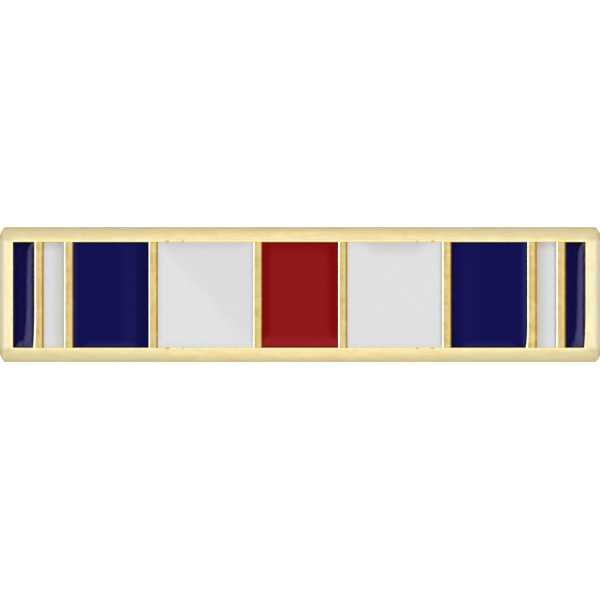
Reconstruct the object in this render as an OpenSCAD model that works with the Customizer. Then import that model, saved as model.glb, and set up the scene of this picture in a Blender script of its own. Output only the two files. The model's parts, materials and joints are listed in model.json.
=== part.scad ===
// Medal lapel pin: a small die-struck, gold-plated bar with nine enamelled stripes
// and one post behind it. Millimetres, +Z up, +X to the right, the face looks to -Y.
// The pin stands as it comes to rest by itself: the lower back edge of the bar and
// the shoulder of the post touch the surface at z = 0, so the face leans back.
// The pieces are drawn lying down first, with the back face at z = 0 and the front
// face up, and the module standing() then sets them on the surface.

/* [Bar] */
// Length of the bar
bar_w = 17.5; // [17.5:0.1:24]
// Height of the bar
bar_h = 3.94; // [3.6:0.02:5]
// Thickness of the struck bar, back face to front face
bar_t = 1.3; // [1.2:0.05:1.6]
// Radius of the four corners, seen from the front
corner_r = 0.26; // [0.24:0.01:0.4]
// Rounding of the rim's outer front edge
front_round = 0.2; // [0.1:0.01:0.22]
// Rounding of the back edge, from tumbling
back_round = 0.08; // [0.04:0.01:0.1]

/* [Stripes] */
// Width of each outermost navy stripe
navy_edge_w = 0.58; // [0.5:0.01:0.6]
// Width of each narrow white stripe
white_narrow_w = 0.56; // [0.5:0.01:0.6]
// Width of each broad navy stripe
navy_broad_w = 2.19; // [1.5:0.01:2.2]
// Width of each broad white stripe
white_broad_w = 2.75; // [1.5:0.01:2.76]
// Width of the red stripe in the middle
red_w = 2.21; // [1.5:0.01:2.22]

/* [Cells] */
// Width of the rim above and below the stripes
rim_w = 0.44; // [0.4:0.01:0.6]
// Width of the struck wall between two stripes
wall_w = 0.28; // [0.2:0.01:0.28]
// How far the tops of the walls lie under the face of the rim
wall_drop = 0.06; // [0.06:0.01:0.1]
// Depth of the cells, wall top to cell floor
cell_depth = 0.44; // [0.42:0.01:0.5]
// Rounding along the inner edge of the rim
rim_round = 0.06; // [0.03:0.01:0.06]
// Rounding along both top edges of a wall
wall_round = 0.06; // [0.03:0.01:0.08]

/* [Enamel] */
// Thickness of the enamel in the middle of a cell
fill_t = 0.3; // [0.2:0.01:0.3]
// Width of the band where the enamel climbs to its walls
meniscus_w = 0.22; // [0.12:0.01:0.22]
// Height that the enamel climbs at its walls
meniscus_rise = 0.07; // [0.04:0.01:0.08]
// Gap between the enamel and the sides of its cell
fill_gap = 0.01; // [0.005:0.005:0.02]

/* [Post] */
// Diameter of the post
post_d = 1.15; // [1:0.05:1.2]
// Length of the post behind the back face, with its point
post_len = 8; // [7.5:0.5:10]
// Length of the point
point_len = 1; // [0.6:0.1:1.4]
// Diameter of the blunt end of the point
point_d = 0.24; // [0.1:0.02:0.4]
// Diameter of the pad that carries the post
pad_d = 3; // [2.4:0.1:3.2]
// Thickness of the pad that stands out of the back
pad_t = 0.3; // [0.2:0.05:0.4]
// Depth of the round seat that the pad is pressed into
seat_depth = 0.12; // [0.08:0.02:0.2]
// Gap all round between the pad and its seat
seat_gap = 0.01; // [0.005:0.005:0.02]
// Distance from the end of the point to the middle of the clutch groove
groove_back = 2.4; // [1.8:0.1:3]
// Width of the clutch groove
groove_w = 0.6; // [0.5:0.1:0.7]
// Depth of the clutch groove
groove_depth = 0.18; // [0.16:0.01:0.24]

/* [Hidden] */
$fn = 96;

gold = [0.87, 0.74, 0.43];
navy = [0.08, 0.07, 0.33];
white = [0.87, 0.88, 0.89];
red = [0.56, 0.08, 0.1];

// The stripes from left to right
STRIPE_NAME = 0;
STRIPE_WIDTH = 1;
STRIPE_COLOUR = 2;
STRIPES = [
    ["enamel_navy_edge_left", navy_edge_w, navy],
    ["enamel_white_narrow_left", white_narrow_w, white],
    ["enamel_navy_broad_left", navy_broad_w, navy],
    ["enamel_white_broad_left", white_broad_w, white],
    ["enamel_red_center", red_w, red],
    ["enamel_white_broad_right", white_broad_w, white],
    ["enamel_navy_broad_right", navy_broad_w, navy],
    ["enamel_white_narrow_right", white_narrow_w, white],
    ["enamel_navy_edge_right", navy_edge_w, navy]
];

// Height of the stripes, and where they start from the left end of the bar
stripe_h = bar_h - 2 * rim_w;
stripes_w = width_before(len(STRIPES)) - wall_w;
end_rim_w = (bar_w - stripes_w) / 2;
wall_top = bar_t - wall_drop;

// Width of the first n stripes, each with the wall that follows it
function width_before(n) =
    n == 0 ? 0 : width_before(n - 1) + STRIPES[n - 1][STRIPE_WIDTH] + wall_w;

// Middle of stripe n along the bar
function stripe_x(n) =
    -bar_w / 2 + end_rim_w + width_before(n) + STRIPES[n][STRIPE_WIDTH] / 2;

post_r = post_d / 2;
point_r = point_d / 2;
pad_r = pad_d / 2;
// Length of the post up to the shoulder where its point starts
shoulder = post_len - point_len;
// How far a cutter runs past the face that it opens
overrun = 1;

// The angle that the face leans back, where the rounded back edge and the shoulder of
// the post are equally low: reach_up * cos(lean) - reach_back * sin(lean) = -back_round
reach_up = bar_h / 2 - back_round - post_r;
reach_back = shoulder + back_round;
lean = acos(-back_round / norm([reach_up, reach_back])) - atan2(reach_back, reach_up);

// Height of the middle of the back face over the surface
back_z = back_round + (bar_h / 2 - back_round) * cos(lean) - back_round * sin(lean);
// Front and back ends of the standing pin, counted from the middle of its back face
front_reach = (bar_t - front_round) * cos(lean) + (bar_h / 2 - front_round) * sin(lean)
    + front_round;
back_reach = post_len * cos(lean) + point_r * sin(lean);

// Stands the pin on the surface, with the middle of its footprint at the origin
module standing() {
    translate([0, (front_reach - back_reach) / 2, back_z])
        rotate([90 - lean, 0, 0])
            children();
}

// Cross-section of the bar, w wide, with its front corners and back corners rounded
module bar_section(w) {
    translate([-w / 2, back_round])
        square([w, bar_t - front_round - back_round]);
    translate([-w / 2 + front_round, bar_t / 2])
        square([w - 2 * front_round, bar_t / 2]);
    translate([-w / 2 + back_round, 0])
        square([w - 2 * back_round, bar_t / 2]);
    for (side = [-1, 1]) {
        translate([side * (w / 2 - front_round), bar_t - front_round])
            circle(r = front_round);
        translate([side * (w / 2 - back_round), back_round])
            circle(r = back_round);
    }
}

// Extrudes a section along the bar, centred
module run_along_x(length) {
    rotate([90, 0, 90])
        translate([0, 0, -length / 2])
            linear_extrude(height = length)
                children();
}

// Extrudes a section across the bar, centred
module run_along_y(length) {
    rotate([90, 0, 0])
        translate([0, 0, -length / 2])
            linear_extrude(height = length)
                children();
}

// The bar before its cells are sunk, with round corners and rounded edges
module blank() {
    run_along_x(bar_w - 2 * corner_r)
        bar_section(bar_h);
    run_along_y(bar_h - 2 * corner_r)
        bar_section(bar_w);
    for (x = [-1, 1], y = [-1, 1])
        translate([x * (bar_w / 2 - corner_r), y * (bar_h / 2 - corner_r), 0])
            rotate_extrude()
                intersection() {
                    bar_section(2 * corner_r);
                    square([corner_r, bar_t]);
                }
}

// Cross-section of a sunk field, w wide and depth deep under the height top, whose two
// top edges are rounded
module sunk_section(w, top, depth, edge_round) {
    difference() {
        union() {
            translate([-w / 2, top - depth])
                square([w, depth + overrun]);
            translate([-w / 2 - edge_round, top - edge_round])
                square([w + 2 * edge_round, edge_round + overrun]);
        }
        for (side = [-1, 1])
            translate([side * (w / 2 + edge_round), top - edge_round])
                circle(r = edge_round);
    }
}

// The shallow field inside the rim, down to the tops of the walls
module panel() {
    intersection() {
        run_along_y(bar_h)
            sunk_section(stripes_w, bar_t, wall_drop, rim_round);
        run_along_x(bar_w)
            sunk_section(stripe_h, bar_t, wall_drop, rim_round);
    }
}

// The cells of all the stripes, down from the tops of the walls
module cells() {
    intersection() {
        for (n = [0 : len(STRIPES) - 1])
            translate([stripe_x(n), 0, 0])
                run_along_y(bar_h)
                    sunk_section(STRIPES[n][STRIPE_WIDTH], wall_top, cell_depth, wall_round);
        translate([-stripes_w / 2, -stripe_h / 2, 0])
            cube([stripes_w, stripe_h, bar_t]);
    }
}

// The struck bar: back plate, rim and cell walls in one piece
module bar_body() {
    color(gold)
        standing()
            difference() {
                blank();
                panel();
                cells();
                translate([0, 0, -overrun])
                    cylinder(r = pad_r + seat_gap, h = seat_depth + seat_gap + overrun);
            }
}

// Cross-section of the enamel, w wide: level in the middle, and climbing to its walls
// in an arc that is level where it starts
module fill_section(w) {
    arc_r = (pow(meniscus_w, 2) + pow(meniscus_rise, 2)) / (2 * meniscus_rise);
    level_w = w - 2 * meniscus_w;
    difference() {
        translate([-w / 2, 0])
            square([w, fill_t + meniscus_rise]);
        translate([-level_w / 2, fill_t])
            square([level_w, overrun]);
        for (side = [-1, 1])
            translate([side * level_w / 2, fill_t + arc_r])
                circle(r = arc_r);
    }
}

// The enamel of stripe n, on the floor of its cell
module enamel(n) {
    fill_w = STRIPES[n][STRIPE_WIDTH] - 2 * fill_gap;
    fill_h = stripe_h - 2 * fill_gap;
    color(STRIPES[n][STRIPE_COLOUR])
        standing()
            translate([stripe_x(n), 0, wall_top - cell_depth]) {
                run_along_y(fill_h)
                    fill_section(fill_w);
                run_along_x(fill_w)
                    fill_section(fill_h);
            }
}

// The post with its pad, turned in one piece, with a groove that the clutch grips
module back_post() {
    groove_mid = post_len - groove_back;
    color(gold)
        standing()
            rotate([180, 0, 0])
                rotate_extrude()
                    polygon([
                        [0, -seat_depth],
                        [pad_r, -seat_depth],
                        [pad_r, pad_t],
                        [post_r, pad_t],
                        [post_r, groove_mid - groove_w / 2],
                        [post_r - groove_depth, groove_mid - groove_w / 4],
                        [post_r - groove_depth, groove_mid + groove_w / 4],
                        [post_r, groove_mid + groove_w / 2],
                        [post_r, shoulder],
                        [point_r, post_len],
                        [0, post_len]
                    ]);
}

bar_body();
for (n = [0 : len(STRIPES) - 1])
    enamel(n);
back_post();
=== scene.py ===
# Medal lapel pin: the looks of a struck, gold-plated ribbon bar with nine soft-enamel
# stripes and one post behind it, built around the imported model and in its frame.
import json
import math

import bmesh
import bpy
from mathutils import Matrix, Vector, noise


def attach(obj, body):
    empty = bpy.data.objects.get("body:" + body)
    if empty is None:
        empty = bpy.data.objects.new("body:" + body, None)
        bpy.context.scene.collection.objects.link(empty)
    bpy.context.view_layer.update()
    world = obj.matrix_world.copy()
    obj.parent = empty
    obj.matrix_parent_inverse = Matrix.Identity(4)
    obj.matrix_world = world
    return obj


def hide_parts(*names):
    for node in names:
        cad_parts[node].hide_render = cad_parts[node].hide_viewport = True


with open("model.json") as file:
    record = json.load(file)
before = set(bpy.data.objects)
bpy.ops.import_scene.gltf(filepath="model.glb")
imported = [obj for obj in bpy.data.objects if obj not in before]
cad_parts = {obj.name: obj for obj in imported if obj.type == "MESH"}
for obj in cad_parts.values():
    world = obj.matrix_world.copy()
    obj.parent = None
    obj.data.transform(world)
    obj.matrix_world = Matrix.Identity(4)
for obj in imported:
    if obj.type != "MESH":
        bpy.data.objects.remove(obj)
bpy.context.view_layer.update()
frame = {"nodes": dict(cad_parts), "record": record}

# The pin's own axes. Sizes below are millimetres, counted from the middle of the back
# face: u along the bar, v up its face, w out of the back towards the front.
MM = 0.001
mounts = {mount["name"]: mount for mount in frame["record"]["mounts"]}
along = Vector((1, 0, 0))
front = -Vector(mounts["back_face"]["axis"])
up = front.cross(along)
back_middle = Vector(mounts["back_face"]["pos_m"])
back_middle.x = 0
pin_space = Matrix.Translation(back_middle) @ Matrix((along, up, front)).transposed().to_4x4()
pin_space = pin_space @ Matrix.Scale(MM, 4)


def reach(node, axis):
    """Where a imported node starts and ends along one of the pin's axes"""
    points = frame["nodes"][node].data.vertices
    steps = [axis.dot(point.co - back_middle) / MM for point in points]
    return min(steps), max(steps)


# Struck bar
half_w = reach("bar_body", along)[1]
half_h = reach("bar_body", up)[1]
bar_t = reach("bar_body", front)[1]
back_round = 0.08
# Each corner is filed off: how far the cut runs along the bar and up its end, and how
# round it is, from 1 for a straight cut to 2 for an ellipse
LEFT_CORNERS, RIGHT_CORNERS, corner_bend = (0.15, 0.255), (0.147, 0.215), 1.3
# Further in than this the corners are square
corner_reach = 0.3
# The rim's front swells in a flat curve from its outer edge to a summit near the cells.
# The summit of the long sides lies further in towards the bar's ends.
front_drop = 0.25
summit_middle, summit_far, summit_end = 0.24, 0.36, 0.22
# How soon it lies further in, and how squarely the swell turns the corners
summit_power, swell_power = 0.6, 4
inner_chamfer_w, inner_chamfer_drop = 0.043, 0.0079
inner_round = 0.002
bevel_drop = 0.0195
flank_drop = 0.07
wall_drop = 0.06
wall_top = bar_t - wall_drop
seat_r = 1.51
seat_depth = 0.13

# Enamel cells, from left to right: each packed fill has this gap to the sides of its cell
packed_gap = 0.01
STRIPE_NODES = [
    "enamel_navy_edge_left",
    "enamel_white_narrow_left",
    "enamel_navy_broad_left",
    "enamel_white_broad_left",
    "enamel_red_center",
    "enamel_white_broad_right",
    "enamel_navy_broad_right",
    "enamel_white_narrow_right",
    "enamel_navy_edge_right",
]
# The die was cut by hand: how far each cell's left and right side stand off to the right
HAND_CUT = [
    (-0.0525, 0.001), (-0.018, 0.016), (0.013, 0.013), (-0.004, 0.024), (0.008, 0.011),
    (-0.006, 0.010), (0.001, 0.014), (0.016, 0.024), (0.027, 0.013),
]
# Each wall's polished bevel on the left and its slanting flank on the right: their widths
WALL_CUTS = [
    (0.043, 0.056), (0.0385, 0.046), (0.035, 0.057), (0.034, 0.041), (0.0385, 0.056),
    (0.033, 0.048), (0.041, 0.07), (0.038, 0.06),
]
# Where along the flank its slope changes, and the narrow widths over which one finish passes
# into the next, beside the bevel and the flank and on the rim
flank_bend = 0.45
wall_seam_w, rim_seam_w = 0.004, 0.002
CELLS = [
    (reach(node, along)[0] - packed_gap + left_off, reach(node, along)[1] + packed_gap + right_off)
    for node, (left_off, right_off) in zip(STRIPE_NODES, HAND_CUT)
]
# The cells also sit a hair low in the bar
low_shift = 0.022
cell_low = reach("enamel_red_center", up)[0] - packed_gap - low_shift
cell_high = reach("enamel_red_center", up)[1] + packed_gap
cell_floor = reach("enamel_red_center", front)[0]
rim_w = half_h - cell_high
low_rim_w = half_h + cell_low
end_rim_w = half_w - CELLS[-1][1]
start_rim_w = half_w + CELLS[0][0]
# How far in the fine bright line along the rim's inner edge starts
line_inset = rim_w - inner_round - inner_chamfer_w
# Sides that aren't straight: which cell's right side, how far its foot turns to the left,
# and over what length. The metal beside it goes along over a width.
CROOKED = [(0, 0.045, 1.05), (6, 0.045, 0.6), (7, 0.025, 0.45), (8, 0.045, 1.0)]
crooked_w = 0.12
# Small nicks in the inner edge of the long rims, drawn only as painted shade: where along the bar, and
# how long
NICKS = [(-3.857, 0.13), (-3.406, 0.075), (3.406, 0.075), (3.857, 0.13)]
# Lines of the mesh across a nick, as shares of half its length
NICK_LINES = (-1, -0.8, 0.8, 1)

# Level of the paint, and the groove where it has shrunk off the metal at its right and
# at both ends: how wide it is there, and how deep
PAINT_LEVELS = {"navy": 1.18, "white": 1.2, "red": 1.19}
GROOVES = {"navy": (0.036, 0.03, 0.15), "white": (0.0, 0.0, 0.0), "red": (0.03, 0.0, 0.03)}
fill_gap = 0.0015
# The white paint climbs up the metal at its bottom and top end
climb_w, low_climb, high_climb = 0.034, 0.03, 0.055
# Each paint surface waves by this much, with waves about so long
paint_wave, paint_wave_length = 0.001, 0.8

# Post behind the bar, turned: its pad sits in the seat
post_r = mounts["post"]["dims"]["r_mm"]
pad_r = 1.5
pad_back, pad_chamfer, turned_edge = -0.3, 0.06, 0.02
foot_w, foot_bend = 0.12, 0.03
groove_start, groove_w, groove_depth = -5.3, 0.6, 0.18
shoulder, point_r, point_edge = -7, 0.1, 0.04
post_back, pad_seated = reach("back_post", front)


def linear(hex_colour):
    """sRGB hex colour as linear RGBA"""
    parts = [int(hex_colour[i:i + 2], 16) / 255 for i in (1, 3, 5)]
    return [p / 12.92 if p <= 0.04045 else ((p + 0.055) / 1.055) ** 2.4 for p in parts] + [1.0]


def add_node(tree, kind, settings=None, values=None, links=None):
    """Adds a node: settings are its properties, values fill its inputs, links feed them"""
    made = tree.nodes.new(kind)
    for name, value in (settings or {}).items():
        setattr(made, name, value)
    for name, value in (values or {}).items():
        made.inputs[name].default_value = value
    for name, socket in (links or {}).items():
        tree.links.new(socket, made.inputs[name])
    return made


def start_material(name):
    """A new material, its node tree, and the pin's millimetres as texture coordinates"""
    material = bpy.data.materials.new(name)
    material.use_nodes = True
    tree = material.node_tree
    tree.nodes.clear()
    to_pin = pin_space.inverted()
    place = add_node(tree, "ShaderNodeTexCoord")
    mm = add_node(
        tree, "ShaderNodeMapping",
        values={"Location": to_pin.to_translation(), "Rotation": to_pin.to_euler(),
                "Scale": to_pin.to_scale()},
        links={"Vector": place.outputs["Object"]})
    return material, tree, mm.outputs["Vector"]


def patches(tree, mm, size_mm, stretch=(1, 1, 1), detail=3.0):
    """Soft noise whose patches are about size_mm wide, drawn out by the three stretches"""
    scale = [1 / (size_mm * s) for s in stretch]
    drawn = add_node(tree, "ShaderNodeMapping", values={"Scale": scale}, links={"Vector": mm})
    made = add_node(
        tree, "ShaderNodeTexNoise",
        values={"Scale": 1.0, "Detail": detail, "Roughness": 0.55},
        links={"Vector": drawn.outputs["Vector"]})
    return made.outputs["Fac"]


# Nearly all of a noise pattern lies in this range
NOISE_RANGE = (0.3, 0.7)


def between(tree, value, low, high, out_low=0.0, out_high=1.0):
    """A value's stretch from low to high, drawn over the stretch out_low to out_high"""
    made = add_node(
        tree, "ShaderNodeMapRange",
        values={"From Min": low, "From Max": high, "To Min": out_low, "To Max": out_high},
        links={"Value": value})
    return made.outputs["Result"]


def swing(tree, pattern, out_low, out_high):
    """A noise pattern drawn over the stretch out_low to out_high"""
    return between(tree, pattern, *NOISE_RANGE, out_low, out_high)


def relief(tree, height, depth_mm, normal=None):
    """A bump whose height runs from 0 to depth_mm"""
    links = {"Height": height}
    if normal:
        links["Normal"] = normal
    made = add_node(
        tree, "ShaderNodeBump",
        values={"Strength": 1.0, "Distance": depth_mm * MM},
        links=links)
    return made.outputs["Normal"]


def ramp(tree, value, stops):
    """A colour looked up in stops, which are pairs of a value and a hex colour in order"""
    low, high = stops[0][0], stops[-1][0]
    made = add_node(tree, "ShaderNodeValToRGB", links={"Fac": between(tree, value, low, high)})
    elements = made.color_ramp.elements
    while len(elements) < len(stops):
        elements.new(0.5)
    for element, (place, colour) in zip(elements, stops):
        element.position = (place - low) / (high - low)
        element.color = linear(colour)
    return made.outputs["Color"]


def shaded(tree, colour, factor):
    """A colour made darker or lighter by a factor"""
    made = add_node(
        tree, "ShaderNodeVectorMath", {"operation": "SCALE"}, links={0: colour, 3: factor})
    return made.outputs["Vector"]


# Attributes by which the meshes tell the materials their finish, point by point, with the painted light
# and shade
PLATING, POLISH, SHADE_AND_DULLNESS, PAINTED_SHADING = "plating", "polish", "shade_and_dullness", "painted_shading"
# Places in the range of gold tones, from polished edges with a painted highlight to flanks with
# painted shade. The end and rim shade tones and the wall and flank tones are painted shade.
EDGE_HIGHLIGHT_TONE, LINE_TONE, END_SHADE_TONE, END_TONE = -2.0, -1.6, -1.0, -0.7
RIM_TONE, RIM_SHADE_TONE, LIGHT_WALL_SHADE_TONE, WALL_SHADE_TONE, FLANK_SHADE_TONE = 0.0, 0.2, 0.45, 0.6, 1.0
GOLD_TONES = [
    (EDGE_HIGHLIGHT_TONE, "#fffcdf"), (LINE_TONE, "#feeaa4"), (END_SHADE_TONE, "#fdf2d5"),
    (END_TONE, "#fef3c6"), (RIM_TONE, "#f8e9b8"), (RIM_SHADE_TONE, "#f6e4aa"),
    (LIGHT_WALL_SHADE_TONE, "#f2dc96"), (WALL_SHADE_TONE, "#eed48d"), (FLANK_SHADE_TONE, "#c49336"),
]
# Finishes of the struck bar, as tone, share of full polish, and how much painted shade or dullness
# darkens it
# A highlight is painted on the polished bevel along each wall's left edge
BEVEL = (EDGE_HIGHLIGHT_TONE, 1.0, 0.0)
INNER_LINE = (LINE_TONE, 1.0, 0.0)
# A paler highlight is painted on the rim's inner line beside the navy paint
LINE_HIGHLIGHT = (LINE_TONE - 0.15, 1.0, 0.0)
# Shade is painted in the nicks, darkest next to the cell
SHADED_NICK = (FLANK_SHADE_TONE, 0.4, 0.0)
SHADED_NICK_EDGE = (WALL_SHADE_TONE, 0.4, 0.0)
# Shade is painted along the inner edge of the right end rim
RIGHT_EDGE_SHADE = (RIM_SHADE_TONE, 0.0, 0.35)
OUTSIDE = (RIM_TONE, 0.0, 0.5)
TURNED = (RIM_TONE, 0.5, 0.3)
# Stands for the finish of whatever lies there in the panel
PANEL_EDGE = "panel"
# Shade is painted on the wall tops, less on their right part, and most on the flank
WALL_LEFT = (WALL_SHADE_TONE + 0.04, 0.33, 0.0)
WALL_RIGHT = (LIGHT_WALL_SHADE_TONE, 0.33, 0.0)
FLANK = (FLANK_SHADE_TONE, 0.4, 0.0)
# Roughness of fully polished gold, and the range of the satin one
polished_rough = 0.12
SATIN_ROUGH = (0.44, 0.52)


def struck_gold():
    """Flash gold plating on struck and tumbled brass, satin on the raised rim and palest at
    its two ends. Shade is painted along the rim's outer shoulder and corners, and on the sunk
    cell walls, most of all along their flank. Sharp edges are polished, with a painted
    highlight."""
    material, tree, mm = start_material("struck_gold_plating")
    tone = add_node(tree, "ShaderNodeAttribute", {"attribute_name": PLATING}).outputs["Fac"]
    polish = add_node(tree, "ShaderNodeAttribute", {"attribute_name": POLISH}).outputs["Fac"]
    shade_and_dullness = add_node(tree, "ShaderNodeAttribute", {"attribute_name": SHADE_AND_DULLNESS}).outputs["Fac"]
    # Polishing strokes run along the long rims, and up and down the ends and the walls
    upright = add_node(
        tree, "ShaderNodeMath", {"operation": "MAXIMUM"},
        links={0: between(tree, tone, RIM_TONE, END_TONE),
               1: between(tree, tone, RIM_SHADE_TONE, LIGHT_WALL_SHADE_TONE)}).outputs["Value"]
    strokes = add_node(
        tree, "ShaderNodeMix", {"data_type": "FLOAT"},
        links={"Factor": upright, "A": patches(tree, mm, size_mm=0.07, stretch=(8, 1, 1)),
               "B": patches(tree, mm, size_mm=0.06, stretch=(1, 8, 1))}).outputs["Result"]
    clouds = patches(tree, mm, size_mm=0.22, stretch=(1.8, 1, 1))
    uneven = add_node(
        tree, "ShaderNodeMath", {"operation": "ADD"},
        links={0: tone, 1: swing(tree, clouds, -0.1, 0.1)}).outputs["Value"]
    # Full painted shade or dullness takes a fifth off the shine
    gilt = shaded(tree, ramp(tree, uneven, GOLD_TONES), between(tree, shade_and_dullness, 0, 2, 1.0, 0.6))
    # The plating is yellower in patches, most of all on the walls
    yellower = add_node(
        tree, "ShaderNodeMath", {"operation": "MULTIPLY"},
        links={0: swing(tree, clouds, -1, 1),
               1: between(tree, tone, RIM_SHADE_TONE, LIGHT_WALL_SHADE_TONE, 0.4, 0.9)}).outputs["Value"]
    yellowing = add_node(
        tree, "ShaderNodeVectorMath", {"operation": "MULTIPLY_ADD"},
        {1: (0.0, -0.03, -0.15), 2: (1.0, 1.0, 1.0)}, {0: yellower})
    patchy = add_node(
        tree, "ShaderNodeVectorMath", {"operation": "MULTIPLY"},
        links={0: gilt, 1: yellowing.outputs["Vector"]}).outputs["Vector"]
    colour = shaded(tree, patchy, swing(tree, strokes, 0.95, 1.05))
    rough = add_node(
        tree, "ShaderNodeMix", {"data_type": "FLOAT"}, {"B": polished_rough},
        {"Factor": polish, "A": swing(tree, strokes, *SATIN_ROUGH)}).outputs["Result"]
    dents = relief(tree, clouds, depth_mm=0.0037)
    normal = relief(tree, strokes, depth_mm=0.0012, normal=dents)
    shader = add_node(
        tree, "ShaderNodeBsdfPrincipled",
        values={"Metallic": 1.0},
        links={"Base Color": colour, "Roughness": rough, "Normal": normal})
    add_node(tree, "ShaderNodeOutputMaterial", links={"Surface": shader.outputs["BSDF"]})
    return material


def soft_enamel(name, painted_light, main, painted_shade):
    """Baked soft enamel: a glossy, slightly uneven paint film with fine grains of its
    pigment. Its colour is deeper where shade is painted along the metal, and paler where light
    or a reflection is painted."""
    material, tree, mm = start_material(name)
    painted_shading = add_node(tree, "ShaderNodeAttribute", {"attribute_name": PAINTED_SHADING}).outputs["Fac"]
    grains = patches(tree, mm, size_mm=0.07, detail=4.0)
    dust = patches(tree, mm, size_mm=0.06, detail=2.0)
    colour = ramp(tree, painted_shading, [(-1, painted_light), (0, main), (1, painted_shade)])
    shader = add_node(
        tree, "ShaderNodeBsdfPrincipled",
        values={"Roughness": 0.06, "IOR": 1.6},
        links={"Base Color": shaded(tree, colour, swing(tree, grains, 0.97, 1.03)),
               "Normal": relief(tree, dust, depth_mm=0.0002)})
    add_node(tree, "ShaderNodeOutputMaterial", links={"Surface": shader.outputs["BSDF"]})
    return material


def studio_white():
    """Matt white paper sweep, lit from within so that it stays white up to the pin"""
    material = bpy.data.materials.new("white_paper_sweep")
    material.use_nodes = True
    shader = material.node_tree.nodes["Principled BSDF"]
    shader.inputs["Base Color"].default_value = linear("#f4f4f4")
    shader.inputs["Roughness"].default_value = 0.9
    shader.inputs["Emission Color"].default_value = linear("#ffffff")
    shader.inputs["Emission Strength"].default_value = 0.7
    return material


# Points of a mesh that lie closer together than this are merged, in millimetres
merge_mm = 1e-5
# Values closer together than this are the same
same = 1e-6


def steps(start, stop, count):
    """count + 1 evenly spaced values from start to stop"""
    return [start + (stop - start) * i / count for i in range(count + 1)]


def arc(centre, radius, start, stop, count):
    """Points on an arc about a centre, from one angle in degrees to another"""
    angles = [math.radians(a) for a in steps(start, stop, count)]
    return [(centre[0] + radius * math.cos(a), centre[1] + radius * math.sin(a)) for a in angles]


def ring(bm, radius, w, count):
    """A ring of vertices about the middle of the bar, at a height"""
    angles = [math.tau * i / count for i in range(count)]
    return [bm.verts.new((radius * math.cos(a), radius * math.sin(a), w)) for a in angles]


def join_points(*runs):
    """Runs of points put end to end, with points that repeat left out"""
    joined = []
    for point in (p for run in runs for p in run):
        if not joined or math.dist(point, joined[-1]) > same:
            joined.append(point)
    return joined


def loft(bm, rows, closed=False):
    """Quads between rows of vertices"""
    for low, high in zip(rows, rows[1:]):
        count = len(low)
        for i in range(count if closed else count - 1):
            j = (i + 1) % count
            bm.faces.new((low[i], low[j], high[j], high[i]))


def add_piece(name, bm, material, node, sharp_angle=40):
    """Turns a mesh drawn in the pin's millimetres into a piece that replaces a node"""
    bmesh.ops.remove_doubles(bm, verts=bm.verts, dist=merge_mm)
    bmesh.ops.dissolve_degenerate(bm, edges=bm.edges, dist=same)
    bmesh.ops.recalc_face_normals(bm, faces=bm.faces)
    mesh = bpy.data.meshes.new(name)
    bm.to_mesh(mesh)
    bm.free()
    mesh.transform(pin_space)
    mesh.materials.append(material)
    mesh.shade_smooth()
    mesh.set_sharp_from_angle(angle=math.radians(sharp_angle))
    piece = bpy.data.objects.new(name, mesh)
    bpy.context.scene.collection.objects.link(piece)
    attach(piece, "root")
    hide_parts(node)


def faded(distance, width, soft):
    """1 within a width of a side, 0 beyond, passing over smoothly inside that width"""
    share = min(max((width - distance) / soft, 0), 1)
    return share * share * (3 - 2 * share)


def mixed(start, stop, share):
    """Value a share of the way from start to stop"""
    return start + (stop - start) * share


def looked_up(table, x):
    """Value at x in a table of pairs, drawn straight between them"""
    for (x0, y0), (x1, y1) in zip(table, table[1:]):
        if x <= x1:
            return y0 + (y1 - y0) * max(0.0, x - x0) / (x1 - x0)
    return table[-1][1]


def ripple(u, v, size, seed):
    """Smooth unevenness from -1 to 1 with waves about size millimetres long"""
    return noise.noise(Vector((u / size, v / size, seed)))


# Lines of the mesh up the face, and along the panel with close lines at the walls
face_rows = steps(cell_low, cell_high, 72)
WALLS = [(left[1], right[0]) for left, right in zip(CELLS, CELLS[1:])]


def foot_level(n):
    """Height where the flank beside cell n meets its paint"""
    level = 0.0 if n == len(CELLS) - 1 else PAINT_LEVELS[STRIPE_NODES[n].split("_")[1]]
    return max(wall_top - flank_drop, level)


def wall_profile(wall, cuts, foot):
    """Section over one wall from cell floor to cell floor, each point with its finish: a
    small polished bevel along the left edge of its top, painted with a highlight, and a flank
    slanting to the foot, painted with shade"""
    left, right = wall
    bevel_w, flank_w = cuts
    points = [(left, w, FLANK) for w in steps(cell_floor, wall_top - flank_drop, 3)]
    points += [(left, wall_top - bevel_drop, BEVEL), (left + bevel_w, wall_top, BEVEL)]
    flat = steps(left + bevel_w + wall_seam_w, right - flank_w - wall_seam_w, 6)
    points += [(u, wall_top, WALL_LEFT) for u in flat[:4]]
    points += [(u, wall_top, WALL_RIGHT) for u in flat[4:]]
    points.append((right - flank_w, wall_top, FLANK))
    points.append((right - flank_bend * flank_w, mixed(wall_top, foot, flank_bend), FLANK))
    points += [(right, w, FLANK) for w in steps(foot, cell_floor, 3)]
    return points


def panel_profile():
    """Section along the bar inside the rim: cell floors and the walls between them"""
    floors = []
    floor_step, fewest = 0.2, 3
    for left, right in CELLS:
        us = steps(left, right, max(fewest, round((right - left) / floor_step)))
        for middle, length in NICKS:
            across = [middle + share * length / 2 for share in NICK_LINES]
            us += [u for u in across if left < u < right]
        floors.append([(u, cell_floor, FLANK) for u in sorted(us)])
    points = [(CELLS[0][0], wall_top, FLANK)]
    for n, (floor, wall, cuts) in enumerate(zip(floors, WALLS, WALL_CUTS)):
        points += floor + wall_profile(wall, cuts, foot_level(n + 1))[1:-1]
    return points + floors[-1] + [(CELLS[-1][1], wall_top, FLANK)]


# How much shade is painted on the end rims, by distance from the end
END_SHADE = [(0, 0.5), (0.07, 1.0), (0.11, 0.9), (0.15, 0.5), (0.21, 0.25), (0.25, 0)]
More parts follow.
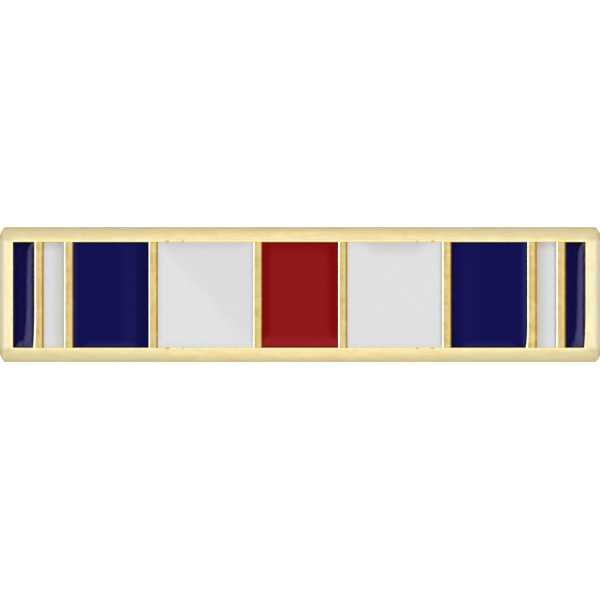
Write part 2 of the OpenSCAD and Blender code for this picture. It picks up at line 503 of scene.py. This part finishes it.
# Shade is painted on the rim in bands along its edges: how far in each reaches, and how
# soft it ends. First the shaded shoulder of the long rims, in the middle of the bar and at its ends
SHOULDER_MIDDLE, SHOULDER_FAR = (0.33, 0.33), (0.38, 0.14)
# Its painted shade is lighter in the middle, at the top and at the bottom
top_shade_loss, bottom_shade_loss = 0.12, 0.27
# A spot in the very middle has the least painted shade, a painted highlight, at this distance from the
# side
spot_off_side, spot_shade_loss, SPOT_ALONG, SPOT_ACROSS = 0.24, 0.8, (1.0, 1.0), (0.12, 0.08)
# Painted shade in a deeper tone follows the inner side of the shoulder and gets weaker towards the ends
shoulder_shade_tone, shoulder_far_loss, SHOULDER_TIP = RIM_SHADE_TONE + 0.08, 0.6, (0.6, 0.4)
# Shade is painted in the corners, and the end rims are pale as far as the long rims
corner_shade_strength, CORNER_ENDWAYS, CORNER_SIDEWAYS = 1.15, (0.5, 0.3), (0.5, 0.16)
END_BAND, LONG_BAND = (0.46, 0.06), (0.45, 0.13)


def rim_face(inset, u, v):
    """Height and finish of the rim's front at a distance in from its outer edge, with shade
    painted along its shoulders and in its corners. The long rims run on to the ends of the
    bar, and the end rims lie between them."""
    off_end, off_side = half_w - abs(u), half_h - abs(v)
    far = abs(u) / half_w
    summit = mixed(summit_middle, summit_far, far ** summit_power)
    over_end, over_side = max(0.0, 1 - off_end / summit_end), max(0.0, 1 - off_side / summit)
    outer = min(1.0, (over_end ** swell_power + over_side ** swell_power) ** (1 / swell_power))
    inner = max(0.0, inset - line_inset) / inner_chamfer_w
    height = bar_t - front_drop * (1 - math.sqrt(1 - outer ** 2)) - inner_chamfer_drop * inner
    # The right end rim has no bright line along its inner edge; shade is painted there instead
    if inset > line_inset - merge_mm and u > CELLS[-1][1]:
        return height, RIGHT_EDGE_SHADE

    # Shade painted along the shoulder, in the corners and on the end rims, with a lighter painted
    # highlight spot in the middle
    shoulder_w, shoulder_soft = [mixed(*pair, far) for pair in zip(SHOULDER_MIDDLE, SHOULDER_FAR)]
    side_shade = faded(off_side, shoulder_w, shoulder_soft)
    painted_shade = shoulder_shade_tone * (1 - shoulder_far_loss * far) * 4 * side_shade * (1 - side_shade)
    painted_shade *= 1 - faded(off_end, *SHOULDER_TIP)
    spot = faded(abs(u), *SPOT_ALONG) * faded(abs(off_side - spot_off_side), *SPOT_ACROSS)
    side_shade *= 1 - spot_shade_loss * spot
    side_shade *= 1 - (top_shade_loss if v > 0 else bottom_shade_loss) * (1 - far)
    corner_shade = corner_shade_strength * faded(off_end, *CORNER_ENDWAYS)
    corner_shade *= faded(off_side, *CORNER_SIDEWAYS)
    end_shade = looked_up(END_SHADE, off_end)
    end_tone = mixed(END_TONE, END_SHADE_TONE, end_shade)
    end = faded(off_end, *END_BAND) * (1 - faded(off_side, *LONG_BAND))
    return height, (mixed(painted_shade, end_tone, end), 0.0, max(side_shade, corner_shade, end_shade))


# How much of a nick's length is painted with shade, how far from the cell the shade is darkest,
# and how far past a cell the finish of its inner line runs on
nick_share, nick_shade_w, past_cell = 0.45, 0.01, 0.1


def line_finish(inset, u):
    """Finish of the rim's inner edge, with a paler highlight painted beside the dark paint,
    and shade painted in the nicks
    """
    if any(abs(u - middle) < nick_share * length for middle, length in NICKS):
        return SHADED_NICK if inset > rim_w - nick_shade_w else SHADED_NICK_EDGE
    for node, (left, right) in zip(STRIPE_NODES, CELLS):
        if "navy" in node and u < min(right + past_cell, CELLS[-1][1]):
            return LINE_HIGHLIGHT
        if u < right + past_cell:
            return INNER_LINE
    return INNER_LINE


def rim_profile():
    """Section over the rim from the back face to the level of the wall tops, as how far
    in, how high, and the finish. What is left open comes from rim_face."""
    back = arc((back_round, back_round), back_round, 270, 180, 4)
    side = [(0, w) for w in steps(back_round, bar_t - front_drop, 4)[:-1]]
    outside = [(inset, w, OUTSIDE) for inset, w in join_points(back, side)]
    swell = [(line_inset * (1 - math.cos(math.radians(a))), None, None) for a in steps(0, 90, 26)]
    inner = [(line_inset + rim_seam_w, None, INNER_LINE), (rim_w - inner_round, None, INNER_LINE)]
    inner.append((rim_w, bar_t - inner_chamfer_drop - inner_round, INNER_LINE))
    return outside + swell + inner + [(rim_w, wall_top, PANEL_EDGE)]


def outline(inset, along_shares, up_shares, corner_steps=10):
    """Closed loop round the bar, inset from its outer edge, with filed corners that turn
    square further in. Shares place the points of a side."""
    left, right = -half_w + inset * start_rim_w / rim_w, half_w - inset * end_rim_w / rim_w
    low, high = -half_h + inset * low_rim_w / rim_w, half_h - inset
    left_over = max(0.0, 1 - inset / corner_reach)
    left_a, left_b = [size * left_over for size in LEFT_CORNERS]
    right_a, right_b = [size * left_over for size in RIGHT_CORNERS]
    us = [left + left_a + (right - left - left_a - right_a) * share for share in along_shares]
    left_vs = [low + left_b + (high - low - 2 * left_b) * share for share in up_shares]
    right_vs = [low + right_b + (high - low - 2 * right_b) * share for share in up_shares]
    runs = [
        ([(u, low) for u in us], (right - right_a, low + right_b), 270, right_a, right_b),
        ([(right, v) for v in right_vs], (right - right_a, high - right_b), 0, right_a, right_b),
        ([(u, high) for u in reversed(us)], (left + left_a, high - left_b), 90, left_a, left_b),
        ([(left, v) for v in reversed(left_vs)], (left + left_a, low + left_b), 180, left_a, left_b),
    ]
    points = []
    for side, (u, v), start, a, b in runs:
        corner = []
        for across, upward in arc((0, 0), 1, start, start + 90, corner_steps)[1:-1]:
            across = math.copysign(abs(across) ** (2 / corner_bend), across)
            upward = math.copysign(abs(upward) ** (2 / corner_bend), upward)
            corner.append((u + a * across, v + b * upward))
        points += side + corner
    return points


def crooked(u, v):
    """Where a point of the face lies once the crooked sides are bent, along the bar"""
    for cell, foot, length in CROOKED:
        near = max(0.0, 1 - abs(u - CELLS[cell][1]) / crooked_w)
        u -= foot * near * max(0.0, 1 - (v - cell_low) / length) ** 2
    return u


def finish_setter(bm):
    """Adds the finish to a mesh, and gives back a function that sets it at a vertex"""
    layers = [bm.verts.layers.float.new(name) for name in (PLATING, POLISH, SHADE_AND_DULLNESS)]

    def set_finish(vert, finish):
        for layer, value in zip(layers, finish):
            vert[layer] = value

    return set_finish


def build_bar():
    """The struck bar in one closed mesh: rim, walls, cell floors, back and seat"""
    bm = bmesh.new()
    set_finish = finish_setter(bm)
    panel = panel_profile()
    # Finish at the panel's highest point on each of its lines
    highest = {round(u, 6): finish for u, w, finish in sorted(panel, key=lambda point: point[1])}
    lines = sorted(highest)
    along_shares = [(u - lines[0]) / (lines[-1] - lines[0]) for u in lines]
    up_shares = steps(0, 1, len(face_rows) - 1)
    loops = []
    for inset, height, finish in rim_profile():
        loop = []
        points = outline(inset, along_shares, up_shares)
        widened = (points[len(lines) - 1][0] - points[0][0]) / (lines[-1] - lines[0])
        for u, v in points:
            face_height, face_finish = rim_face(inset, u, v)
            loop.append(bm.verts.new((crooked(u, v), v, face_height if height is None else height)))
            if finish == INNER_LINE:
                face_finish = line_finish(inset, lines[0] + (u - points[0][0]) / widened)
            elif finish == PANEL_EDGE:
                face_finish = highest[min(lines, key=lambda line: abs(line - u))]
            set_finish(loop[-1], finish if finish == OUTSIDE else face_finish)
        loops.append(loop)
    loft(bm, loops, closed=True)

    grid = [[bm.verts.new((crooked(u, v), v, w)) for u, w, finish in panel] for v in face_rows]
    for row in grid:
        for vert, (u, w, finish) in zip(row, panel):
            set_finish(vert, finish)
    loft(bm, grid)
    # The rim's inner side closes each cell at its top and bottom end
    for row, v in ((grid[0], cell_low), (grid[-1], cell_high)):
        edge = [bm.verts.new((crooked(u, v), v, wall_top)) for u, w, finish in panel]
        for vert, (u, w, finish) in zip(edge, panel):
            set_finish(vert, highest[round(u, 6)])
        for i in range(len(panel) - 1):
            if abs(panel[i][0] - panel[i + 1][0]) > same:
                bm.faces.new((row[i], row[i + 1], edge[i + 1], edge[i]))

    # Back face round the seat, then the seat itself
    rings = [ring(bm, seat_r, w, 96) for w in (0, seat_depth)]
    for vert in rings[0] + rings[1]:
        set_finish(vert, OUTSIDE)
    loft(bm, rings, closed=True)
    bm.faces.new(rings[1])
    bm.verts.ensure_lookup_table()
    back_edges = []
    for loop in (loops[0], rings[0]):
        for a, b in zip(loop, loop[1:] + loop[:1]):
            back_edges.append(bm.edges.get((a, b)))
    bmesh.ops.triangle_fill(bm, use_beauty=True, edges=back_edges, normal=(0, 0, -1))
    return bm


# The two narrow navy stripes are lower, but their paint stands up in a lip along the
# right side and the bottom end, with a wider gap behind it. Width of the lip at the side,
# by millimetres from the bottom end:
lip_level = 1.13
lip_gap = 0.032
LIP = [(0.15, 0.35), (0.25, 0.342), (0.34, 0.333), (0.4, 0.312), (0.63, 0.294), (0.86, 0.28),
       (1.1, 0.274), (1.5, 0.266), (2.1, 0.26), (2.47, 0.252), (2.65, 0.244), (2.77, 0.239),
       (2.82, 0.226), (2.88, 0.206), (2.94, 0.187), (3.0, 0.147), (3.05, 0.1)]
# The lip starts at a crease, steepens over a short way and turns level near the metal
LIP_SLOPES, lip_end_slope = {0: 0.055, 8: 0.071}, 0.066
lip_bend, lip_turn = 0.09, 0.18
lip_turn_w, lip_end_turn_w, lip_end_w = 0.138, 0.05, 0.235
# Width of the short way at the bottom end, and how much wider it is a millimetre up
bend_foot_w, bend_more_w = 0.06, 0.06
# At the bottom end the lip leaves out the left corner, along a slanting line: a point of
# it, as millimetres from the left and from the bottom, and the direction across it
SLANT_POINT, SLANT_ACROSS = (0.09, 0.07), (0.863, -0.506)
# The crease wanders and the lip is uneven: by how much, and how long the waves are
LIP_WANDER, LIP_UNEVEN = (0.006, 0.12), (0.0002, 0.09)
# A highlight is painted on the lip: it grows over a width from the crease, fades again where the lip
# turns level, and has this strength
lip_highlight_w, lip_highlight_fade, lip_highlight = 0.12, 5, 1.5

# Where each stripe's paint is drawn darker (above 0) or paler (below 0): first all over, then in
# painted shade or painted light along a side, with how wide the band is, how soft its inner edge,
# and over what length it narrows towards its ends, or towards the bottom
SIDE_NAMES = ("left", "right", "bottom", "top")
SHADING_BANDS = [
    (0.5, [("top", 0.4, 0.4, 0.5, 0), ("left", 0.05, 0.04, -1.8, 0), ("left", 0.31, 0.08, -0.3, 0),
           ("left", 0.2, 0.08, 0.3, 0)]),
    (0.17, [("left", 0.1, 0.1, 0.2, 0), ("right", 0.42, 0.42, 0.45, 0), ("right", 0.07, 0.05, 0.5, 0),
           ("top", 0.3, 0.3, 0.4, 0), ("bottom", 0.5, 0.5, -0.15, 0)]),
    (0, [("left", 0.14, 0.08, -0.5, 0), ("right", 0.45, 0.3, 0.75, 0), ("right", 1.0, 0.4, -0.25, 0),
         ("top", 0.1, 0.1, 0.3, 0), ("bottom", 0.26, 0.26, -1.1, 0.5)]),
    (0, [("left", 0.2, 0.15, 0.15, 0), ("right", 0.09, 0.05, 0.35, 0), ("top", 0.35, 0.3, 0.2, 0.4),
         ("bottom", 0.25, 0.25, -0.5, 0)]),
    (0, [("left", 0.27, 0.12, 1.0, 0.45), ("right", 0.4, 0.24, 1.0, 0.45), ("top", 0.6, 0.6, 0.5, 0),
         ("top", 0.07, 0.03, 0.8, 0), ("bottom", 0.4, 0.3, -1.1, 0), ("bottom", 0.04, 0.02, 2.0, 0)]),
    (0.05, [("left", 0.1, 0.1, 0.1, 0), ("right", 0.15, 0.1, 0.2, 0), ("right", 0.09, 0.05, 0.4, 0),
            ("top", 0.52, 0.48, 0.37, 0.8), ("bottom", 0.2, 0.2, -0.4, 0)]),
    (0, [("left", 0.4, 0.35, 0.5, 0), ("left", 0.06, 0.04, 1.0, 0), ("left", 1.1, 0.5, -0.15, 0),
         ("right", 0.22, 0.17, -1.2, 0),
         ("top", 0.1, 0.1, 0.3, 0), ("bottom", 0.26, 0.26, -0.9, 0.5)]),
    (0.1, [("left", 0.42, 0.42, 0.52, 0), ("right", 0.14, 0.12, 0.35, 0), ("right", 0.07, 0.05, 0.8, 0),
           ("top", 0.3, 0.3, 0.4, 0), ("bottom", 0.5, 0.5, -0.15, 0)]),
    (0.5, [("top", 0.4, 0.4, 0.5, 0), ("left", 0.15, 0.1, -0.5, 0)]),
]

# In the left one of the two broad white stripes, shade is painted above a slanting line from
# corner to corner, which gets softer on its way down
SHADED_DIAGONAL, diagonal_shade = 3, 0.16
diagonal_top_soft, diagonal_bottom_soft = 0.08, 0.43


def lip(n, u, v):
    """How far a narrow navy stripe's lip rises at a point, and how much highlight is painted on it"""
    left, right = CELLS[n]
    off_side, off_end = right - u, v - cell_low
    wander, wander_length = LIP_WANDER
    uneven, uneven_length = LIP_UNEVEN
    lip_w = looked_up(LIP, off_end) + wander * ripple(u, v, wander_length, n)
    side = max(0.0, lip_w - off_side)
    aslant = SLANT_ACROSS[0] * (u - left - SLANT_POINT[0])
    aslant += SLANT_ACROSS[1] * (off_end - SLANT_POINT[1])
    end = max(0.0, min(lip_end_w - off_end, aslant))
    inside = math.hypot(side, end)
    if not inside:
        return 0.0, 0.0
    bend_w = bend_foot_w + bend_more_w * min(1.0, off_end)
    bent = min(side, bend_w)
    turned = max(0.0, lip_turn_w - off_side) if side else 0.0
    end_turned = max(0.0, lip_end_turn_w - off_end)
    rise = math.hypot(LIP_SLOPES[n] * side, lip_end_slope * end)
    rise += lip_bend * (bent ** 2 + 2 * bend_w * (side - bent))
    rise -= lip_turn * (turned ** 2 + end_turned ** 2)
    rise += uneven * ripple(u, v, uneven_length, n + 20)
    return rise, min(1.0, inside / lip_highlight_w) - lip_highlight_fade * turned


def painted_shading(n, u, v):
    """How much darker (above 0) or paler (below 0) the paint of stripe n is drawn at a point of its
    face, by painted shade and light
    """
    left, right = CELLS[n]
    away = dict(zip(SIDE_NAMES, (u - left, right - u, v - cell_low, cell_high - v)))
    total, bands = SHADING_BANDS[n]
    for side, width, soft, depth, taper in bands:
        ends = ["bottom"] if side in SIDE_NAMES[:2] else SIDE_NAMES[:2]
        narrow = min(1.0, min(away[end] for end in ends) / taper) if taper else 1.0
        total += depth * faded(away[side], width * narrow, soft)
    # A highlight is painted on the lip of the narrow navy stripes
    if n in (0, len(CELLS) - 1):
        total -= lip_highlight * lip(n, u, v)[1]
    # Shade painted above the slanting line
    if n == SHADED_DIAGONAL:
        down = (cell_high - v) / (cell_high - cell_low)
        soft = mixed(diagonal_top_soft, diagonal_bottom_soft, down)
        total += diagonal_shade * faded(down - (u - left) / (right - left), soft / 2, soft)
    return total


def fill_height(n, colour, u, v):
    """Height of the enamel of stripe n at one point of its face"""
    if n in (0, len(CELLS) - 1):
        return lip_level + lip(n, u, v)[0]
    level = PAINT_LEVELS[colour] + paint_wave * ripple(u, v, paint_wave_length, n)
    if colour == "white":
        level += low_climb * max(0.0, 1 - (v - cell_low) / climb_w) ** 2
        level += high_climb * max(0.0, 1 - (cell_high - v) / climb_w) ** 2
    return level


# How close the lines of the paint's mesh lie: across, at least how many, how many rows, and
# over what width at both ends there are closer rows
fill_step, fewest_lines, fill_rows, close_w = 0.025, 32, 120, 0.024


def build_fill(n, colour):
    """The enamel of one stripe: a closed dish on the floor of its cell, with a groove
    along three of its sides"""
    bm = bmesh.new()
    shading_layer = bm.verts.layers.float.new(PAINTED_SHADING)
    left, right = CELLS[n]
    side_groove, end_groove, depth = GROOVES[colour]
    if n in (0, len(CELLS) - 1):
        side_groove = lip_gap
    across = max(fewest_lines, round((right - left) / fill_step))
    us = [(u, 0) for u in steps(left + fill_gap, right - max(side_groove, fill_gap), across)]
    if depth and side_groove != lip_gap:
        us += [(us[-1][0], depth), (right - fill_gap, depth)]
    low, high = cell_low + max(end_groove, fill_gap), cell_high - max(end_groove, fill_gap)
    vs = [(v, 0) for v in steps(low, high, fill_rows)]
    if end_groove:
        vs = [(cell_low + fill_gap, depth), (low, depth)] + vs
        vs += [(high, depth), (cell_high - fill_gap, depth)]
    else:
        close = steps(0, close_w, 4)[1:]
        vs = [vs[0]] + [(low + off, 0) for off in close] + vs[1:-1]
        vs += [(high - off, 0) for off in reversed(close)] + [(high, 0)]
    top = []
    for v, drop_v in vs:
        row = []
        for u, drop_u in us:
            drop = max(drop_u, drop_v)
            w = fill_height(n, colour, u, v) - drop
            row.append(bm.verts.new((crooked(u, v), v, w)))
            # Full shade is painted in the groove
            row[-1][shading_layer] = 1.0 if drop else painted_shading(n, u, v)
        top.append(row)
    loft(bm, top)
    rim = top[0] + [row[-1] for row in top[1:]] + top[-1][-2::-1] + [row[0] for row in top[-2:0:-1]]
    base = [bm.verts.new((vert.co.x, vert.co.y, cell_floor)) for vert in rim]
    loft(bm, [rim, base], closed=True)
    bm.faces.new(base)
    return bm


def build_post():
    """The post: pad, shaft, clutch groove and point, turned in one piece"""
    bm = bmesh.new()
    set_finish = finish_setter(bm)
    pad = [
        (0, pad_seated), (pad_r - turned_edge, pad_seated), (pad_r, pad_seated - turned_edge),
        (pad_r, pad_back + pad_chamfer), (pad_r - pad_chamfer, pad_back),
    ]
    foot = [
        (post_r + foot_w, pad_back), (post_r + foot_bend, pad_back - foot_bend),
        (post_r, pad_back - foot_w),
    ]
    groove = [
        (post_r, groove_start), (post_r - groove_depth, groove_start - groove_w / 4),
        (post_r - groove_depth, groove_start - groove_w * 3 / 4), (post_r, groove_start - groove_w),
    ]
    point = [
        (post_r, shoulder + turned_edge), (post_r - turned_edge, shoulder - turned_edge),
        (point_r + point_edge, post_back + point_edge), (point_r, post_back), (0, post_back),
    ]
    rows = [ring(bm, radius, w, 64) for radius, w in pad + foot + groove + point]
    for vert in bm.verts:
        set_finish(vert, TURNED)
    loft(bm, rows, closed=True)
    return bm


gold = struck_gold()
# Each paint: its colour under painted light, its own colour, and its colour under painted shade
navy = soft_enamel("navy_soft_enamel", "#232362", "#110d55", "#0a0838")
white = soft_enamel("white_soft_enamel", "#eeeff0", "#e7e8e9", "#bdbbb3")
red = soft_enamel("red_soft_enamel", "#9c2025", "#941519", "#860708")
FINISHES = {"navy": navy, "white": white, "red": red}

add_piece("struck_bar", build_bar(), gold, "bar_body", sharp_angle=50)
for n, node in enumerate(STRIPE_NODES):
    colour = node.split("_")[1]
    name = node.replace("enamel", "fill")
    add_piece(name, build_fill(n, colour), FINISHES[colour], node)
add_piece("turned_post", build_post(), gold, "back_post", sharp_angle=35)


def face_direction(right_deg, up_deg):
    """Direction away from the face, turned to its right and up by two angles"""
    a, e = math.radians(right_deg), math.radians(up_deg)
    return (along * math.sin(a) * math.cos(e) + up * math.sin(e)
            + front * math.cos(a) * math.cos(e)).normalized()


lamp_distance_mm = 150


def softbox(name, right_deg, up_deg, width_mm, height_mm, radiance):
    """A soft light that faces the middle of the pin, with a given radiance"""
    light = bpy.data.lights.new(name, "AREA")
    light.shape = "RECTANGLE"
    light.size = width_mm * MM
    light.size_y = height_mm * MM
    light.energy = radiance * math.pi * light.size * light.size_y
    lamp = bpy.data.objects.new(name, light)
    direction = face_direction(right_deg, up_deg)
    lamp.location = back_middle + direction * lamp_distance_mm * MM
    lamp.rotation_mode = "QUATERNION"
    lamp.rotation_quaternion = direction.to_track_quat("Z", "Y")
    lamp.visible_camera = False
    bpy.context.scene.collection.objects.link(lamp)


softbox("left_glint", right_deg=-49, up_deg=0, width_mm=24, height_mm=30, radiance=1.2)

# A pale room round the pin, darker where the camera stands
world = bpy.data.worlds.new("studio_room")
bpy.context.scene.world = world
world.use_nodes = True
tree = world.node_tree
tree.nodes.clear()
toward = add_node(tree, "ShaderNodeTexCoord").outputs["Generated"]
facing = add_node(tree, "ShaderNodeVectorMath", settings={"operation": "DOT_PRODUCT"},
                  values={1: front}, links={0: toward}).outputs["Value"]
turned = add_node(tree, "ShaderNodeMath", settings={"operation": "ARCCOSINE"}, links={0: facing})
away = between(tree, turned.outputs["Value"], 0, math.pi)
room = add_node(tree, "ShaderNodeFloatCurve", links={"Value": away})
# Brightness of the room, as shares of its brightest, by degrees away from the camera
brightest = 1.145
ROOM = [(0, 0.03), (6.5, 0.03), (9.5, 1.0), (20, 0.99), (30, 0.945), (45, 0.885), (60, 0.83),
        (75, 0.775), (90, 0.735), (117, 0.66), (140, 0.5), (165, 0.56), (180, 0.7)]
curve = room.mapping.curves[0]
while len(curve.points) < len(ROOM):
    curve.points.new(0.5, 0.5)
for point, (angle, share) in zip(curve.points, ROOM):
    point.location = (angle / 180, share)
    point.handle_type = "VECTOR"
room.mapping.update()
glow = add_node(tree, "ShaderNodeBackground", values={"Strength": brightest},
                links={"Color": room.outputs["Value"]})
add_node(tree, "ShaderNodeOutputWorld", links={"Surface": glow.outputs["Background"]})

# White sweep under the pin. The camera sees it, and the pin mirrors only the room.
floor_mesh = bpy.data.meshes.new("floor")
floor_half = 1.5
floor_mesh.from_pydata(
    [(-floor_half, -floor_half, 0), (floor_half, -floor_half, 0), (floor_half, floor_half, 0),
     (-floor_half, floor_half, 0)], [], [(0, 1, 2, 3)])
floor_mesh.materials.append(studio_white())
floor = bpy.data.objects.new("floor", floor_mesh)
bpy.context.scene.collection.objects.link(floor)
floor.visible_diffuse = False
floor.visible_glossy = False
floor.visible_shadow = False

# The camera looks straight at the face. The photo shows the bar 601.2 px long, with its
# middle 5.5 px above the middle of the picture.
picture_px = 600
bar_px = 601.2
rise_px = 5.5
mm_per_px = 2 * half_w / bar_px
camera_data = bpy.data.cameras.new("camera")
camera_data.sensor_width = 36
camera_data.lens = 1200  # So long that the bar's sides run as straight as in the photo
distance_mm = picture_px * mm_per_px * camera_data.lens / camera_data.sensor_width
camera_data.clip_start = 0.01
camera_data.clip_end = 10
camera = bpy.data.objects.new("camera", camera_data)
bpy.context.scene.collection.objects.link(camera)
camera.location = pin_space @ Vector((0, -rise_px * mm_per_px, bar_t + distance_mm))
camera.rotation_mode = "QUATERNION"
camera.rotation_quaternion = Matrix((along, up, front)).transposed().to_quaternion()
bpy.context.scene.camera = camera

bpy.context.scene.view_settings.view_transform = "Standard"
bpy.context.scene.view_settings.look = "None"
